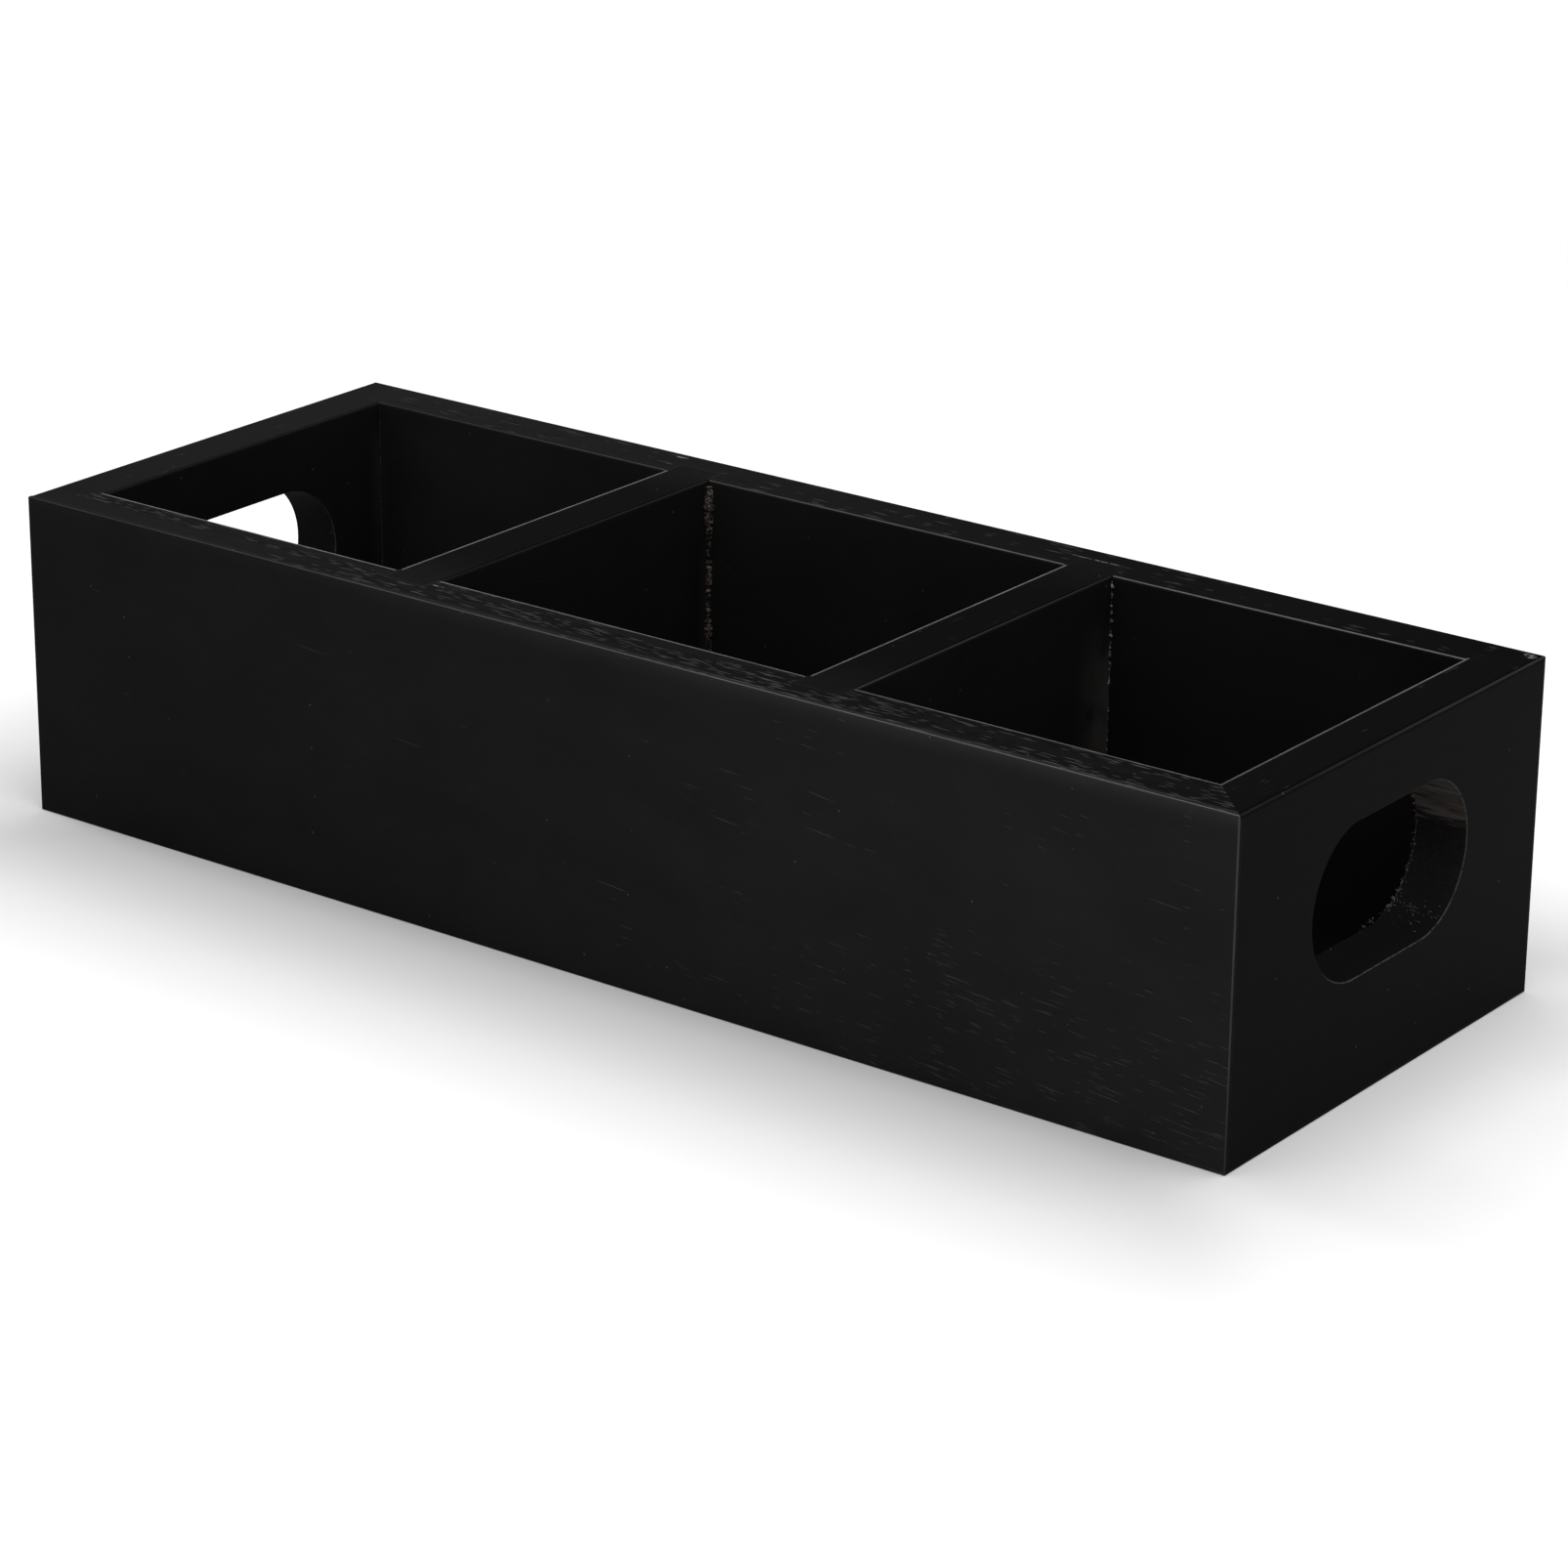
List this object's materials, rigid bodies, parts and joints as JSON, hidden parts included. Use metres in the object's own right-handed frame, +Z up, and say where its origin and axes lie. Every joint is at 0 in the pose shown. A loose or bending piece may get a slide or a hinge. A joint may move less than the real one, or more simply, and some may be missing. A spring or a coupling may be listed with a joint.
{
  "type": "compartmented tea caddy",
  "caption": "Open rectangular wooden tea caddy divided into compartments by housed boards, with an obround hand slot in each end.",
  "frame": {"origin": "middle of the footprint, on the surface that the box stands on", "axes": "+X along the box towards the end on the right of the picture, +Y from the front wall to the back wall, +Z up"},
  "size_m": [0.35, 0.128, 0.082],
  "materials": {
    "front_board": "black satin lacquer over open grain",
    "back_board": "black satin lacquer over open grain",
    "left_end_board": "black satin lacquer over open grain, bare in the hand slot",
    "right_end_board": "black satin lacquer over open grain, bare in the hand slot",
    "left_divider_board": "black satin lacquer",
    "right_divider_board": "black satin lacquer",
    "base_board": "thin matt black stain",
    "nail_steel": "bright drawn wire"
  },
  "bodies": {
    "root": {"front_panel": "front_board", "back_panel": "back_board", "left_end_panel": "left_end_board", "right_end_panel": "right_end_board", "left_divider": "left_divider_board", "right_divider": "right_divider_board", "base_panel": "base_board", "base_brads": "nail_steel", "corner_pins": "nail_steel"}
  },
  "joints": []
}
